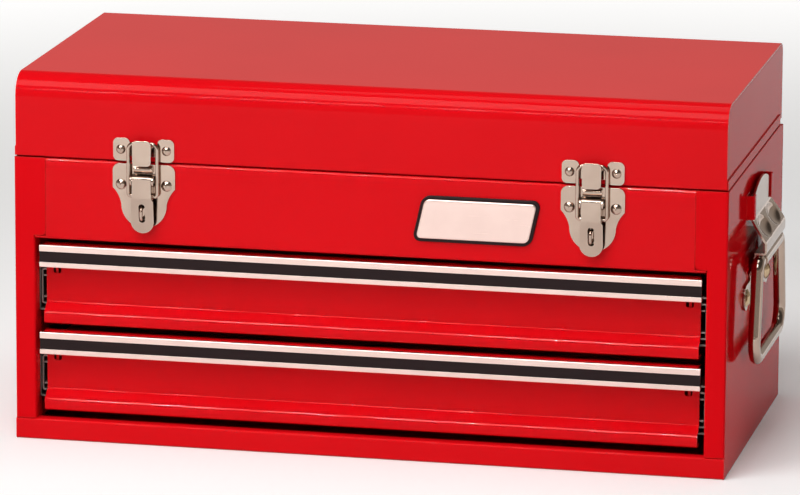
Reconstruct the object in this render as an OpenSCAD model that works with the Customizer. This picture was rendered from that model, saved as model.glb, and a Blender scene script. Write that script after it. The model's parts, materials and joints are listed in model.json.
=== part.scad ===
// Portable tool box of folded sheet steel: a lidded top compartment over two drawers on ball slides.
// The origin is the middle of the flat base. +Z is up and -Y is the front.

/* [Cabinet] */
// Width over the side panels
cabinet_w = 508; // [430:1:640]
// Depth from the front face to the back panel
cabinet_d = 250; // [205:1:320]
// Thickness of the folded sheet steel
sheet_t = 1; // [0.8:0.1:1.3]
// Height of the fixed panel in front of the top compartment
compartment_h = 58; // [54:1:90]
// Height of the lip along the bottom of the front
base_lip_h = 15; // [13:1:20]
// Width of the stiles on each side of the drawers
stile_w = 14.6; // [12:0.1:18]
// Width of the stiles on each side of the fixed panel
top_stile_w = 22.6; // [20:0.1:28]
// Height of the lid above the seam
lid_h = 58; // [46:1:80]
// Outside radius of the bend along the front of the lid
lid_front_r = 16; // [8:1:24]
// Outside radius of the bend along the back of the lid
lid_back_r = 8; // [4:1:14]
// Gap between the closed lid and the cabinet
seam_gap = 1; // [0.6:0.1:1.5]

/* [Drawers] */
// Height of a drawer front
drawer_h = 57.5; // [50:0.5:80]
// Gap above and below each drawer front
drawer_gap = 5.6; // [4:0.1:8]
// Height of the aluminium pull along the top of a drawer front
pull_h = 16; // [14:0.5:20]
// Depth of the finger recess behind the front face
recess_d = 12; // [11:0.5:16]

/* [Slides] */
// Height of a ball slide
slide_h = 35; // [33:0.5:37]
// Width of a ball slide, from the post to the drawer side
slide_w = 12.7; // [12.7:0.1:16]
// Diameter of the slide balls
ball_d = 3.4; // [3:0.1:3.6]

/* [Hinge] */
// Diameter of the long hinge pin
hinge_pin_d = 2.2; // [1.8:0.1:3]
// Thickness of the hinge leaves
leaf_t = 0.9; // [0.7:0.1:1.2]
// Width of each hinge leaf
leaf_w = 18; // [14:1:24]
// Number of knuckles along the hinge, half on each leaf
knuckles = 24; // [12:2:36]

/* [Draw latches] */
// Distance from the end of the cabinet to the middle of a latch
latch_inset = 94.4; // [70:0.1:130]
// Width of the latch base plate
latch_w = 44.8; // [43:0.1:52]
// Diameter of the latch loop wire
wire_d = 2.8; // [2.4:0.1:3]
// Diameter of the pin that the latch lever turns on
latch_pin_d = 2.8; // [2.2:0.1:3.2]
// Width of the slot in the latch lever
lever_slot_w = 4.6; // [4:0.1:6]

/* [Side handles] */
// Diameter of the handle rod
bail_d = 8.8; // [7:0.1:9.2]
// Distance between the middles of the handle legs at the pivot
bail_top_w = 97; // [97:1:110]
// Distance between the middles of the handle legs at the grip
bail_grip_w = 124; // [112:1:140]
// Drop from the handle pivot to the middle of the grip
bail_drop = 68.3; // [56:0.1:76]
// Diameter of the pins at the ends of the handle rod
bail_pin_d = 7; // [5:0.1:7.4]

/* [Hidden] */
$fn = 48;

red = [0.83, 0.08, 0.1];
nickel = [0.74, 0.69, 0.63];
gold = [0.8, 0.7, 0.52];
zinc = [0.7, 0.7, 0.68];
aluminium = [0.9, 0.87, 0.83];
black = [0.2, 0.17, 0.17];

t = sheet_t;
eps = 0.01;
running = 0.05;
joint_gap = 0.3;
bend_lap = 0.5;
bend_seam = 0.005;
rod_seam = 0.002;
far = 2 * (cabinet_w + cabinet_d);

// Cabinet
half_w = cabinet_w / 2;
front_y = -cabinet_d / 2;
back_y = cabinet_d / 2;
bend_r = 1.3 * t;
bend_out = bend_r + t / 2;
panel_gap = 4.8;
panel_z = base_lip_h + 2 * (drawer_h + drawer_gap) + panel_gap;
cabinet_h = panel_z + compartment_h;
lid_z = cabinet_h + seam_gap;
top_z = lid_z + lid_h;
hem_h = 8;
lip_return = 10;
lip_hem = 7;
stile_return = 12;
side_flange = 12;
pan_flange = 12;
pan_lip_hem = 5;
panel_return = 12;
stile_corner_r = 3.5;
panel_foot_h = 2;
stile_z = panel_z + panel_foot_h + joint_gap;
weld_tab_w = 9;
floor_flange = 12;

// Hinge
knuckle_r = hinge_pin_d / 2 + running + leaf_t;
hinge_y = back_y - t + hinge_pin_d / 2 + running;
hinge_z = cabinet_h + seam_gap / 2;
hinge_wall_gap = 0.25;
hinge_end = 15;
hinge_len = cabinet_w - 2 * hinge_end;
knuckle_l = hinge_len / knuckles;
knuckle_gap = 0.2;
hinge_notch_d = 10;
wall_top = hinge_z - knuckle_r - hinge_wall_gap;
lid_wall_z = hinge_z + knuckle_r + hinge_wall_gap;

// Lid
lid_inset = 1.3;
lid_half_w = half_w - lid_inset;
lid_hem = 5.5;
lid_flange = 10;
lid_notch_d = 12;
band_h = 6.5;
band_out = 0.9;

// Slides
slide_gauge = 1.2;
slide_bend = 1.3;
slide_inset = stile_w - t;
slide_x = half_w - slide_inset;
slide_y0 = front_y + recess_d + 2 * t;
slide_rear = 10;
slide_y1 = back_y - slide_rear;
slide_rise = 24.8;
race_lip = 2.4;
race_back = 3.1;
middle_gap = 0.8;
middle_trim = 2;
race_clear = 0.35;
outer_half = (slide_h - slide_gauge) / 2;
middle_half = outer_half - slide_gauge - ball_d;
inner_half = middle_half - slide_gauge - ball_d;
middle_s = 1.5 * slide_gauge + middle_gap;
post_w = 24;
post_flange = 8;
post_front = 30;
post_rear = 35;

// Drawers
tub_half_w = slide_x - slide_w;
tub_h = 50;
tub_hem = 6;
tub_front_h = 30;
tub_back_drop = 4;
front_half_w = half_w - stile_w - 5.3;
pull_half_w = half_w - stile_w - 3.2;
face_d = 4.3;
pull_t = 3;
step_low = 8;
step_high = 14;
front_return = 4;
pull_lip = 11;
slot_from_end = 5;
slot_w = 5.5;
slot_h = 10;
slot_drop = 22.5;
slot_r = 1.2;
pull_edge_r = 0.8;
channel_h = 7.9;
channel_drop = 4.5;
channel_lip = 1;
channel_undercut = 0.6;
insert_recess = 0.5;
insert_fit = 0.1;
pull_curl = 8;
pull_curl_t = 1.5;

// Latches, measured outwards from the front face and upwards from the seam
latch_x = half_w - latch_inset;
plate_t = 1.2;
catch_t = 1.5;
base_top = 0.8;
base_shoulder = 18;
base_neck = [16, -33];
base_round_r = 16.3;
base_round_z = -30;
base_corner_r = 5;
neck_sag = 1.6;
pivot = [5.2, -12];
loop_pivot = [4, -23];
loop_half_w = 10.3;
loop_corner_r = 4.5;
loop_foot_r = 2.2;
bar_gap = 0.25;
lug_r = 3.6;
lug_gap = 0.4;
pin_stand = 0.3;
lever_half_w = 6.8;
tongue_half_w = 8.2;
tongue_z = -41;
tongue_taper = [-24, -26];
lever_top = -9;
lever_bend_r = 1.5;
lever_tip_in = 0.6;
cheek_r = 3.3;
cheek_foot_r = 2.5;
lever_slot = [-28, -41.5];
staple_wire = 2.2;
staple_out = 9.5;
staple_r = 2.6;
staple_z = [-31, -39];
rivet_x = 16.4;
base_rivet_z = -15.6;
catch_rivet_z = 9.4;
shank_r = 2;
tail_r = 2.8;
tail_h = 1;
base_rivet_r = 3.9;
catch_rivet_r = 3.4;
latch_rivet_h = 2;
hook_half_w = 6.6;
hook_t = 1.2;
hook_face = 7.8;
hook_top = 17;
hook_bottom = -1;
hook_corner_r = 3;
hook_shelf = 12.9;
catch_bottom = 1.3;
catch_top = 17.5;
ear_in = 9.9;
ear_out = 21.9;
ear_corner_r = 3.5;
bridge_r = 2.9;
bridge_z = -4.2;

// Side handles, measured outwards from the side panel and upwards from the pivot
bracket_t = 1.5;
pivot_drop = 67;
bail_z = cabinet_h - pivot_drop;
bail_out = 9.5;
bail_top_r = 6.5;
bail_grip_r = 15;
bail_pin_l = 14;
bail_end_gap = 0.5;
hood_end_gap = 0.6;
hood_half_l = bail_top_w / 2 - bail_d / 2 - hood_end_gap;
hood_out = 14.1;
hood_shoulder = 14.5;
hood_foot = 29;
hood_return = 6;
plate_half_w = 41;
plate_top = 52.6;
plate_side_top = 42;
plate_corner_r = 7;
plate_out = 3.7;
barrel_half_l = 36;
barrel_r = bail_pin_d / 2 + running + bracket_t;
barrel_seat = 0.25;
hood_low = barrel_r + bracket_t / 2 - barrel_seat;
ear_y = 45;
ear_drop = 25.5;
ear_r = 9;
strap_half_l = 30;
strap_land = 13;
strap_end = 33;
ear_notch_r = 60;
handle_rivet_r = 6.5;
handle_rivet_h = 3.1;
handle_shank_r = 3;
handle_tail_r = 4.5;
tab_low = 30;
tab_high = 47;
tab_hook = 6.5;
tab_gap = 1;
tab_r = 1.1;
tab_slot_in = plate_half_w - 2 * tab_hook + tab_gap;
dimple_r = 7;

// The rear post stands clear of the tail of the handle rivet
rear_post_y = max(back_y - post_rear, ear_y + handle_tail_r + joint_gap + post_w / 2 + post_flange);

function drawer_z(i) = base_lip_h + drawer_gap + i * (drawer_h + drawer_gap);
function unit(v) = v / norm(v);
function turn(p, i) = acos(unit(p[i] - p[i - 1]) * unit(p[i + 1] - p[i]));
function radius_at(r, i) = is_list(r) ? r[i - 1] : r;
function cut_back(p, i, r) = radius_at(r, i) * tan(turn(p, i) / 2);
function arrive(p, i, r) = p[i] - unit(p[i] - p[i - 1]) * cut_back(p, i, r);
function leave(p, i, r) = p[i] + unit(p[i + 1] - p[i]) * cut_back(p, i, r);
function bend_centre(p, i, r) =
  p[i] + unit(unit(p[i + 1] - p[i]) - unit(p[i] - p[i - 1])) * radius_at(r, i) / cos(turn(p, i) / 2);
function arrive_at(p, i, r) = i == len(p) - 1 ? p[i] : arrive(p, i, r);
function leave_at(p, i, r) = i == 0 ? p[0] : leave(p, i, r);
function ray(c, l, a) = [l * sin(a), c - l * cos(a)];
function left_turn(p, i) = cross(p[i] - p[i - 1], p[i + 1] - p[i]) > 0;
function heading(v) = atan2(v[1], v[0]);
// Radius and centre of the arc that rises by s over the chord from a to b
function arc_radius(a, b, s) = (norm(b - a) * norm(b - a) / 4 + s * s) / (2 * s);
function arc_centre(a, b, s) =
  (a + b) / 2 + [a[1] - b[1], b[0] - a[0]] / norm(b - a) * (arc_radius(a, b, s) - s);

// Solid of width w along X, from a section drawn in Y and Z
module across(w) {
  rotate([90, 0, 90])
    linear_extrude(w, center = true)
      children();
}

// Solid from y0 to y1, from a section drawn in X and Z
module along(y0, y1) {
  translate([0, y1, 0])
    rotate([90, 0, 0])
      linear_extrude(y1 - y0)
        children();
}

// Lays a drawing in X and Y against the front, with its first axis pointing out of the front face
module upright() {
  rotate([90, 0, -90])
    children();
}

module rounded(w, h, r) {
  square([w, h - 2 * r], center = true);
  square([w - 2 * r, h], center = true);
  for (i = [-1, 1], j = [-1, 1])
    translate([i * (w / 2 - r), j * (h / 2 - r)])
      circle(r);
}

// Section of a folded sheet: a strip of thickness w along the points p, with mean bend radius r
module folded(p, w, r) {
  translate(p[0])
    rotate(heading(p[1] - p[0]))
      fold_run(p, w, r, 0);
}

// One flat of the strip along X, and from its end the bend and the rest of the strip.
// A bend that isn't square is thinner by a hair and laps into its flats.
module fold_run(p, w, r, i) {
  run = norm(arrive_at(p, i + 1, r) - leave_at(p, i, r));
  translate([0, -w / 2])
    square([run, w]);
  if (i > 0)
    translate([-eps, -w / 2 + bend_seam])
      square([2 * eps, w - 2 * bend_seam]);
  if (i < len(p) - 2) {
    side = left_turn(p, i + 1) ? 0 : 1;
    bend = radius_at(r, i + 1);
    angle = turn(p, i + 1);
    square_bend = abs(angle - 90) < eps;
    translate([run, 0])
      mirror([0, side]) {
        fold_arc(bend, angle, w, square_bend ? 0 : bend_lap, square_bend ? 0 : bend_seam);
        translate([0, bend])
          rotate(square_bend ? 90 : angle)
            translate([0, -bend])
              mirror([0, side])
                fold_run(p, w, r, i + 1);
      }
  }
}

// Bend from the origin, first along X and then turning left
module fold_arc(bend, angle, w, lap, seam) {
  intersection() {
    translate([0, bend])
      difference() {
        circle(bend + w / 2 - seam);
        circle(bend - w / 2 + seam);
      }
    polygon([
      [0, bend],
      ray(bend, 2 * bend, -lap),
      ray(bend, 2 * bend / cos(angle / 2 + lap), angle / 2),
      ray(bend, 2 * bend, angle + lap)
    ]);
  }
}

// Round rod of diameter d along the points p in the XY plane, with mean bend radius r.
// Each bend is thinner by a hair and laps into the straights.
module rod(p, d, r) {
  last = len(p) - 1;
  for (i = [0 : last - 1]) {
    a = leave_at(p, i, r);
    b = arrive_at(p, i + 1, r);
    translate([a[0], a[1], 0])
      rotate([0, 0, heading(b - a)])
        rotate([0, 90, 0])
          cylinder(h = norm(b - a), d = d);
  }
  if (last > 1)
    for (i = [1 : last - 1]) {
      c = bend_centre(p, i, r);
      start = left_turn(p, i) ? arrive(p, i, r) : leave(p, i, r);
      translate([c[0], c[1], 0])
        rotate([0, 0, heading(start - c) - bend_lap])
          rotate_extrude(angle = turn(p, i) + 2 * bend_lap)
            translate([radius_at(r, i), 0])
              circle(d = d - 2 * rod_seam * d);
    }
}

// Domed rivet head of radius r and height h on the plane z = 0
module dome(r, h) {
  ball_r = (r * r + h * h) / (2 * h);
  intersection() {
    translate([0, 0, h - ball_r])
      sphere(ball_r);
    cylinder(h = h, r = r);
  }
}

// ---- Cabinet ----------------------------------------------------------------------------------

module side_panel_plan() {
  wall = half_w - t / 2;
  stile = half_w - stile_w + t / 2;
  folded([
    [half_w - side_flange, back_y - 1.5 * t],
    [wall, back_y - 1.5 * t],
    [wall, front_y + t / 2],
    [stile, front_y + t / 2],
    [stile, front_y + stile_return]
  ], t, bend_r);
}

module right_side() {
  difference() {
    union() {
      difference() {
        linear_extrude(cabinet_h)
          side_panel_plan();
        translate([half_w - 2 * t, front_y + bend_out, cabinet_h - t])
          cube([3 * t, cabinet_d, 2 * t]);
      }
      side_top_hem();
      top_stile();
      side_handle_tabs();
    }
    // Room for the lip of the bottom pan and for the return behind it
    translate([0, front_y - t, -t])
      cube([far, 2 * t, base_lip_h + joint_gap + t]);
    translate([0, front_y - t, -t])
      cube([half_w - t, stile_return + 2 * t, base_lip_h + joint_gap + t]);
    // The return behind the stile ends under the fixed panel
    translate([half_w - stile_w - eps, front_y + t, panel_z - joint_gap])
      cube([stile_w - bend_out - t, stile_return, cabinet_h]);
    // Notch for the hinge
    translate([half_w - side_flange - t, back_y - hinge_notch_d, wall_top])
      cube([side_flange + 2 * t, hinge_notch_d + t, cabinet_h]);
    side_rivet_holes();
  }
  weld_tab();
}

module side_top_hem() {
  along(front_y + bend_out, back_y - 2 * t) {
    translate([half_w - 2 * t, cabinet_h - hem_h])
      square([2 * t, hem_h - t]);
    translate([half_w - t, cabinet_h - t])
      circle(t);
  }
}

// The stile widens beside the fixed panel
module top_stile() {
  along(front_y, front_y + t)
    difference() {
      translate([half_w - top_stile_w, stile_z])
        square([top_stile_w - bend_out, cabinet_h - stile_z]);
      translate([half_w - top_stile_w - eps, stile_z - eps])
        difference() {
          square(stile_corner_r);
          translate([stile_corner_r, stile_corner_r])
            circle(stile_corner_r);
        }
    }
}

// Tab behind the stile that the fixed panel is spot-welded to
module weld_tab() {
  h = cabinet_h - stile_z - 2 * stile_corner_r - hem_h;
  along(front_y + t, front_y + 2 * t)
    translate([half_w - top_stile_w - weld_tab_w, stile_z + stile_corner_r])
      square([2 * weld_tab_w, h]);
  along(front_y + t / 2, front_y + 1.5 * t)
    translate([half_w - top_stile_w + t / 2, stile_z + stile_corner_r])
      square([weld_tab_w - t, h]);
}

// Lanced tabs hook over the shoulders of the handle bracket
module side_handle_tabs() {
  for (i = [0, 1])
    mirror([0, i, 0])
      translate([0, 0, bail_z + tab_low])
        linear_extrude(tab_high - tab_low)
          folded([
            [half_w - t / 2, plate_half_w + tab_gap + t / 2],
            [half_w + plate_out + bracket_t / 2 + joint_gap / 2 + t / 2, plate_half_w + tab_gap + t / 2],
            [half_w + plate_out + bracket_t / 2 + joint_gap / 2 + t / 2, plate_half_w - tab_hook + tab_gap]
          ], t, tab_r);
}

module side_rivet_holes() {
  for (i = [-1, 1]) {
    translate([half_w - 2 * t, i * ear_y, bail_z - ear_drop])
      rotate([0, 90, 0])
        cylinder(h = 3 * t, r = handle_shank_r + running);
    // Opening left by the lanced tab
    translate([half_w - t - eps, i > 0 ? tab_slot_in : -plate_half_w - tab_gap, bail_z + tab_low])
      cube([t + 2 * eps, plate_half_w + tab_gap - tab_slot_in, tab_high - tab_low]);
  }
}

module back_panel() {
  color(red)
    translate([-half_w, back_y - t, 0])
      cube([cabinet_w, t, wall_top]);
}

// Bottom pan: floor, rear and side flanges, and the lip along the front with its return
module bottom_pan() {
  inner = half_w - t;
  rear = back_y - 2.5 * t;
  lip = [
    [front_y + lip_return - t / 2, base_lip_h - pan_lip_hem],
    [front_y + lip_return - t / 2, base_lip_h - t / 2],
    [front_y + t / 2, base_lip_h - t / 2],
    [front_y + t / 2, t / 2]
  ];
  color(red) {
    across(2 * (inner - t))
      folded(concat(lip, [[rear, t / 2], [rear, pan_flange]]), t, bend_r);
    intersection() {
      across(2 * inner)
        folded(concat(lip, [[front_y + lip_return, t / 2]]), t, bend_r);
      translate([-far, front_y - t, -t])
        cube([2 * far, lip_return + t, far]);
    }
    // The lip itself runs out over the ends of the side panels
    intersection() {
      across(cabinet_w)
        folded(concat(lip, [[front_y + lip_return, t / 2]]), t, bend_r);
      translate([-far, front_y - t, -t])
        cube([2 * far, 2 * t, far]);
    }
    along(front_y + lip_return, rear - bend_out)
      folded([
        [-inner + t / 2, pan_flange],
        [-inner + t / 2, t / 2],
        [inner - t / 2, t / 2],
        [inner - t / 2, pan_flange]
      ], t, bend_r);
  }
}

// Fixed panel in front of the top compartment
module front_panel() {
  color(red)
    difference() {
      across(cabinet_w)
        folded([
          [front_y + panel_return, panel_z + t / 2],
          [front_y + t / 2, panel_z + t / 2],
          [front_y + t / 2, cabinet_h - t / 2],
          [front_y + lip_return - t / 2, cabinet_h - t / 2],
          [front_y + lip_return - t / 2, cabinet_h - lip_hem]
        ], t, bend_r);
      for (i = [0, 1])
        mirror([i, 0, 0]) {
          translate([half_w - stile_w - joint_gap, front_y - t, panel_z - t])
            cube([far, cabinet_d, far]);
          translate([half_w - top_stile_w - joint_gap, front_y - t, panel_z + panel_foot_h])
            cube([far, cabinet_d, far]);
        }
      for (i = [-1, 1])
        translate([i * latch_x, front_y, cabinet_h])
          latch_base_holes();
    }
}

// Floor of the top compartment, with a flange up each side
module compartment_floor() {
  x1 = half_w - t;
  y0 = front_y + 2 * t + joint_gap;
  y1 = back_y - 2 * t;
  z0 = panel_z + t;
  color(red) {
    across(2 * (x1 - bend_out))
      folded([
        [y0 + t / 2, z0 + floor_flange],
        [y0 + t / 2, z0 + t / 2],
        [y1 - t / 2, z0 + t / 2],
        [y1 - t / 2, z0 + floor_flange]
      ], t, bend_r);
    along(y0 + bend_out, y1 - bend_out)
      folded([
        [-x1 + t / 2, z0 + floor_flange],
        [-x1 + t / 2, z0 + t / 2],
        [x1 - t / 2, z0 + t / 2],
        [x1 - t / 2, z0 + floor_flange]
      ], t, bend_r);
  }
}

// Front and rear posts that carry the slides, hat sections welded to the side panel
module right_posts() {
  wall = half_w - 1.5 * t;
  crown = slide_x + t / 2;
  color(red)
    for (y = [front_y + post_front, rear_post_y])
      translate([0, y, pan_flange + joint_gap])
        linear_extrude(panel_z + t - pan_flange - joint_gap)
          folded([
            [wall, -post_w / 2 - post_flange],
            [wall, -post_w / 2],
            [crown, -post_w / 2],
            [crown, post_w / 2],
            [wall, post_w / 2],
            [wall, post_w / 2 + post_flange]
          ], t, bend_r);
}

// ---- Slides -----------------------------------------------------------------------------------

// Places a right-hand slide member of drawer i: its section is drawn from the post inwards
module slide_member(i) {
  translate([0, 0, drawer_z(i) + slide_rise])
    along(slide_y0, slide_y1)
      translate([slide_x, 0])
        mirror([1, 0])
          children();
}

module cabinet_rail(i) {
  lip_s = slide_w - race_back;
  color(zinc)
    slide_member(i)
      folded([
        [lip_s, outer_half - race_lip],
        [lip_s, outer_half],
        [slide_gauge / 2, outer_half],
        [slide_gauge / 2, -outer_half],
        [lip_s, -outer_half],
        [lip_s, -outer_half + race_lip]
      ], slide_gauge, [slide_bend, slide_bend, slide_bend, slide_bend]);
}

module middle_rail(i) {
  color(zinc)
    slide_member(i)
      folded([
        [slide_w - middle_trim, middle_half],
        [middle_s, middle_half],
        [middle_s, -middle_half],
        [slide_w - middle_trim, -middle_half]
      ], slide_gauge, slide_bend);
}

module drawer_rail(i) {
  color(zinc)
    slide_member(i)
      folded([
        [middle_s + slide_gauge / 2 + race_clear, inner_half],
        [slide_w - slide_gauge / 2, inner_half],
        [slide_w - slide_gauge / 2, -inner_half],
        [middle_s + slide_gauge / 2 + race_clear, -inner_half]
      ], slide_gauge, slide_bend);
}

// ---- Drawers ----------------------------------------------------------------------------------

// Half section of a pan with rounded bottom corners, w wide from z = 0 upwards
module pan_profile(w, h, r) {
  translate([-w / 2, r])
    square([w, h - r]);
  translate([-w / 2 + r, 0])
    square([w - 2 * r, 2 * r]);
  for (i = [-1, 1])
    translate([i * (w / 2 - r), r])
      circle(r);
}

// Open-topped pan with walls of thickness t
module pan(w, y0, y1, h) {
  mid = (y0 + y1) / 2;
  difference() {
    intersection() {
      along(y0, y1)
        pan_profile(w, h, bend_out);
      across(w)
        translate([mid, 0])
          pan_profile(y1 - y0, h, bend_out);
    }
    intersection() {
      along(y0 + t, y1 - t)
        translate([0, t])
          pan_profile(w - 2 * t, h, bend_out - t);
      across(w)
        translate([mid, t])
          pan_profile(y1 - y0 - 2 * t, h, bend_out - t);
    }
  }
}

module drawer_tub(i) {
  y0 = front_y + recess_d + t;
  y1 = slide_y1 - 2 * t;
  color(red)
    translate([0, 0, drawer_z(i) + t]) {
      difference() {
        pan(2 * tub_half_w, y0, y1, tub_h - t);
        translate([-tub_half_w + 2 * t, y0 - t, tub_front_h])
          cube([2 * tub_half_w - 4 * t, 3 * t, tub_h]);
        translate([-tub_half_w + 2 * t, y1 - 2 * t, tub_h - tub_back_drop])
          cube([2 * tub_half_w - 4 * t, 3 * t, tub_h]);
      }
      for (side = [0, 1])
        mirror([side, 0, 0])
          along(y0, y1) {
            translate([tub_half_w - 2 * t, tub_h - tub_hem])
              square([2 * t, tub_hem - t]);
            translate([tub_half_w - t, tub_h - t])
              circle(t);
          }
    }
}

// Drawer front: a face below, a step back to the finger recess, and a lip down behind the pull
module drawer_front(i) {
  face = front_y + face_d + t / 2;
  recess = front_y + recess_d + t / 2;
  lip = front_y + pull_t + t / 2;
  color(red)
    translate([0, 0, drawer_z(i)])
      difference() {
        across(2 * front_half_w)
          folded([
            [front_y + recess_d + front_return, t / 2],
            [face, t / 2],
            [face, step_low],
            [recess, step_high],
            [recess, drawer_h - t / 2],
            [lip, drawer_h - t / 2],
            [lip, drawer_h - pull_lip]
          ], t, bend_r);
        for (side = [-1, 1])
          along(front_y + recess_d - t, front_y + recess_d + 2 * t)
            translate([side * (front_half_w - slot_from_end - slot_w / 2), drawer_h - slot_drop + slot_h / 2])
              rounded(slot_w, slot_h, slot_r);
      }
}

module pull_rail(i) {
  w = 2 * pull_half_w;
  low = drawer_h - pull_h;
  channel_top = drawer_h - channel_drop;
  color(aluminium)
    translate([0, front_y, drawer_z(i)])
      across(w)
        difference() {
          union() {
            translate([pull_edge_r, low])
              square([pull_t - pull_edge_r, pull_h]);
            translate([0, low + pull_edge_r])
              square([pull_t, pull_h - 2 * pull_edge_r]);
            for (z = [low + pull_edge_r, drawer_h - pull_edge_r])
              translate([pull_edge_r, z])
                circle(pull_edge_r);
            translate([pull_t - eps, low])
              square([pull_curl - pull_t - pull_curl_t / 2, pull_curl_t]);
            translate([pull_curl - pull_curl_t / 2, low + pull_curl_t / 2])
              circle(d = pull_curl_t);
          }
          translate([-eps, channel_top - channel_h])
            square([channel_lip + 2 * eps, channel_h]);
          translate([channel_lip, channel_top - channel_h - channel_undercut])
            square([channel_lip, channel_h + 2 * channel_undercut]);
        }
}

// Black strip held in the channel of the pull
module pull_insert(i) {
  channel_top = drawer_h - channel_drop;
  color(black)
    translate([0, front_y, drawer_z(i)])
      across(2 * pull_half_w) {
        translate([insert_recess, channel_top - channel_h + insert_fit])
          square([channel_lip, channel_h - 2 * insert_fit]);
        translate([channel_lip + insert_fit, channel_top - channel_h - channel_undercut + insert_fit])
          square([channel_lip - 2 * insert_fit, channel_h + 2 * channel_undercut - 2 * insert_fit]);
      }
}

// ---- Lid --------------------------------------------------------------------------------------

// Side view of the lid in Y and Z, drawn in by o from the outer face
module lid_face(o) {
  fr = lid_front_r - o;
  br = lid_back_r - o;
  y0 = front_y + o;
  y1 = back_y - o;
  z1 = top_z - o;
  translate([y0, lid_z])
    square([y1 - y0, z1 - max(fr, br) - lid_z]);
  translate([y0 + fr, lid_z])
    square([y1 - y0 - fr - br, z1 - lid_z]);
  translate([y0, lid_z])
    square([fr, z1 - fr - lid_z]);
  translate([y1 - br, lid_z])
    square([br, z1 - br - lid_z]);
  translate([y0 + fr, z1 - fr])
    circle(fr);
  translate([y1 - br, z1 - br])
    circle(br);
}

module hinge_clearance() {
  translate([-far, back_y - lid_notch_d, lid_z - t])
    cube([2 * far, far, lid_wall_z - lid_z + t]);
}

module lid_shell() {
  color(red)
    difference() {
      union() {
        across(2 * lid_half_w)
          folded([
            [front_y + t / 2, lid_z + t],
            [front_y + t / 2, top_z - t / 2],
            [back_y - t / 2, top_z - t / 2],
            [back_y - t / 2, lid_wall_z]
          ], t, [lid_front_r - t / 2, lid_back_r - t / 2]);
        intersection() {
          across(2 * lid_half_w)
            lid_hem_profile();
          translate([-far, front_y - t, 0])
            cube([2 * far, 2 * t, far]);
        }
        across(2 * (lid_half_w - t - joint_gap))
          lid_hem_profile();
      }
      for (i = [-1, 1])
        translate([i * latch_x, front_y, cabinet_h])
          latch_catch_holes();
    }
}

// Hem folded back inside the front edge of the lid
module lid_hem_profile() {
  translate([front_y, lid_z + t])
    square([2 * t, lid_hem - t]);
  translate([front_y + t, lid_z + t])
    circle(t);
}

module lid_right_end_solid() {
  x0 = lid_half_w - t;
  color(red)
    difference() {
      union() {
        translate([x0 + t / 2, 0, 0])
          across(t)
            lid_face(t);
        translate([x0 - lid_flange / 2, 0, 0])
          across(lid_flange + 2 * eps)
            difference() {
              lid_face(t);
              lid_face(2 * t);
              translate([-far, 0])
                square([2 * far, lid_z + lid_hem + joint_gap]);
            }
        // The bottom edge is hemmed outwards
        translate([lid_half_w, front_y + t, lid_z])
          cube([band_out, cabinet_d - lid_notch_d - t, band_h]);
      }
      hinge_clearance();
    }
}

// ---- Hinge ------------------------------------------------------------------------------------

// One leaf below the axis, with every second knuckle from number first
module hinge_leaf(first) {
  ring_l = knuckle_l - knuckle_gap;
  difference() {
    union() {
      translate([-hinge_len / 2 + knuckle_gap / 2, hinge_y - knuckle_r, hinge_z - leaf_w])
        cube([hinge_len - knuckle_gap, leaf_t, leaf_w - knuckle_r - hinge_wall_gap]);
      for (i = [first : 2 : knuckles - 1])
        translate([-hinge_len / 2 + i * knuckle_l + knuckle_gap / 2, hinge_y, hinge_z]) {
          rotate([0, 90, 0])
            cylinder(h = ring_l, r = knuckle_r);
          translate([0, -knuckle_r, -knuckle_r - hinge_wall_gap - eps])
            cube([ring_l, leaf_t, knuckle_r + hinge_wall_gap + eps]);
        }
    }
    translate([-hinge_len / 2 - t, hinge_y, hinge_z])
      rotate([0, 90, 0])
        cylinder(h = hinge_len + 2 * t, r = hinge_pin_d / 2 + running);
  }
}

module hinge_pin() {
  color(zinc)
    translate([-hinge_len / 2, hinge_y, hinge_z])
      rotate([0, 90, 0])
        cylinder(h = hinge_len, d = hinge_pin_d);
}

module hinge_cabinet_leaf() {
  color(zinc)
    hinge_leaf(0);
}

module hinge_lid_leaf() {
  color(zinc)
    translate([0, 0, 2 * hinge_z])
      mirror([0, 0, 1])
        hinge_leaf(1);
}

// ---- Draw latches: the origin of each piece is on the front face at the seam --------------------

module latch_at(side) {
  translate([side * latch_x, front_y, cabinet_h])
    children();
}

// Plate parallel to the front, from out0 to out1, drawn in X and Z
module front_plate(out0, out1) {
  translate([0, -out0, 0])
    rotate([90, 0, 0])
      linear_extrude(out1 - out0)
        children();
}

// Section drawn outwards and upwards, from x0 to x1 and the same on the other side
module latch_pair(x0, x1) {
  for (i = [-1, 1])
    translate([i * (x0 + x1) / 2, 0, 0])
      upright()
        linear_extrude(x1 - x0, center = true)
          children();
}

module latch_base_outline() {
  a = [latch_w / 2, -base_shoulder];
  b = base_neck;
  top = -base_top;
  translate([0, (top - base_shoulder) / 2])
    square([latch_w, base_shoulder + top - 2 * base_corner_r], center = true);
  translate([-latch_w / 2 + base_corner_r, -base_shoulder])
    square([latch_w - 2 * base_corner_r, base_shoulder + top]);
  translate([-latch_w / 2, -base_shoulder])
    square([latch_w, base_corner_r + t]);
  for (i = [-1, 1])
    translate([i * (latch_w / 2 - base_corner_r), top - base_corner_r])
      circle(base_corner_r);
  difference() {
    polygon([[-a[0], a[1]], a, b, [-b[0], b[1]]]);
    for (i = [0, 1])
      mirror([i, 0])
        translate(arc_centre(a, b, neck_sag))
          circle(arc_radius(a, b, neck_sag));
  }
  translate([0, base_round_z])
    circle(base_round_r);
}

module latch_base_holes() {
  for (i = [-1, 1])
    translate([i * rivet_x, 0, base_rivet_z])
      rotate([90, 0, 0])
        cylinder(h = 6 * t, r = shank_r + running, center = true);
  for (z = staple_z)
    translate([0, 0, z])
      rotate([90, 0, 0])
        cylinder(h = 6 * t, r = staple_wire / 2 + running, center = true);
}

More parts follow.
